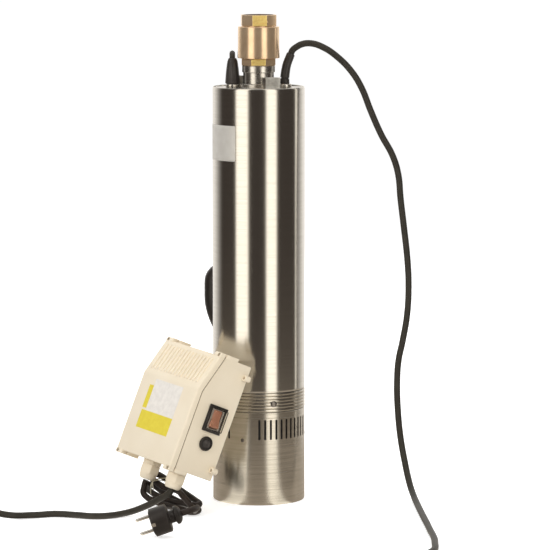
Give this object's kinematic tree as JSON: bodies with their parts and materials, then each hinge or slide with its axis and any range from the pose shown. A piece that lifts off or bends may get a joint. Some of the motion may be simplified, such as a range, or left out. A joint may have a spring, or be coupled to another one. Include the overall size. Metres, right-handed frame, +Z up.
{
  "type": "submersible borehole pump",
  "caption": "Upright steel borehole pump with strainer cup, brass check valve on top, float switch on a cord, coiled supply cable and a leaning plastic control box with rocker and plug.",
  "frame": {"origin": "centre of the strainer cup's flat underside, on the floor", "axes": "+Z up the shaft to the outlet, +X to the right and -Y to the front as the picture sees it"},
  "size_m": [0.8337, 0.5734, 0.6713],
  "materials": {
    "stainless": "polished",
    "satin_steel": "satin",
    "motor_cast": "cast",
    "brass": "satin",
    "copper": "enamelled wire",
    "stage_plastic": "moulded",
    "white_plastic": "moulded",
    "ivory_plastic": "smooth",
    "black_plastic": "smooth",
    "clear_rubber": "clear",
    "red_plastic": "smooth",
    "rubber": "matt",
    "tie_wire": "matt"
  },
  "bodies": {
    "pump_set": {"outer_sleeve": "stainless", "intake_ring": "stainless", "strainer_cup": "satin_steel", "suction_plate": "stage_plastic", "diffuser_1": "stage_plastic", "diffuser_2": "stage_plastic", "diffuser_3": "stage_plastic", "seal_housing": "stage_plastic", "lower_motor_cover": "motor_cast", "motor_can": "satin_steel", "motor_top_cover": "motor_cast", "lower_bearing": "stainless", "upper_bearing": "stainless", "stator_core": "motor_cast", "stator_winding": "copper", "delivery_head": "stainless", "sleeve_o_ring": "rubber", "pump_cable_gland": "satin_steel", "float_cable_gland": "satin_steel", "pump_cable_sleeve": "rubber", "float_cable_sleeve": "rubber", "discharge_nipple": "stainless", "valve_seat_ring": "brass", "valve_body": "brass", "valve_spring": "stainless", "box_base": "ivory_plastic", "box_cover": "ivory_plastic", "cover_gasket": "rubber", "switch_housing": "black_plastic", "switch_boot": "clear_rubber", "overload_protector": "black_plastic", "capacitor": "white_plastic", "terminal_block": "white_plastic", "gland_body_1": "ivory_plastic", "gland_nut_1": "ivory_plastic", "gland_body_2": "ivory_plastic", "gland_nut_2": "ivory_plastic", "pump_cable_run": "rubber", "pump_cable_return": "rubber", "pump_cable_coil": "rubber", "mains_cord_lead": "rubber", "mains_cord_tail": "rubber", "mains_cord_hank": "rubber", "cord_tie": "tie_wire", "float_switch": "black_plastic", "float_cable": "rubber", "plug_body": "rubber", "plug_pin_a": "stainless", "plug_pin_b": "stainless"},
    "rotor": {"pump_shaft": "satin_steel", "rotor_core": "satin_steel", "impeller_1": "stage_plastic", "impeller_2": "stage_plastic", "impeller_3": "stage_plastic", "shaft_nut": "satin_steel", "mechanical_seal": "black_plastic"},
    "poppet": {"valve_poppet": "white_plastic", "poppet_seal": "rubber"},
    "rocker": {"switch_rocker": "red_plastic"},
    "reset": {"reset_button": "rubber"}
  },
  "joints": [
    {"name": "rotor_spin", "type": "hinge", "parent": "pump_set", "child": "rotor", "pos_m": [0, 0, 0.4], "axis": [0, 0, 1], "continuous": true},
    {"name": "poppet_lift", "type": "slide", "parent": "pump_set", "child": "poppet", "axis": [0, 0, 1], "range_m": [0, 0.01], "stiffness_N_per_m": 60, "deforming": ["valve_spring"]},
    {"name": "switch_rock", "type": "hinge", "parent": "pump_set", "child": "rocker", "pos_m": [-0.06016, -0.12835, 0.13052], "axis": [0.7553, 0.5404, -0.3708], "range_deg": [0, 20]},
    {"name": "reset_press", "type": "slide", "parent": "pump_set", "child": "reset", "axis": [-0.5626, 0.8248, 0.0558], "range_m": [0, 0.003], "stiffness_N_per_m": 200}
  ]
}
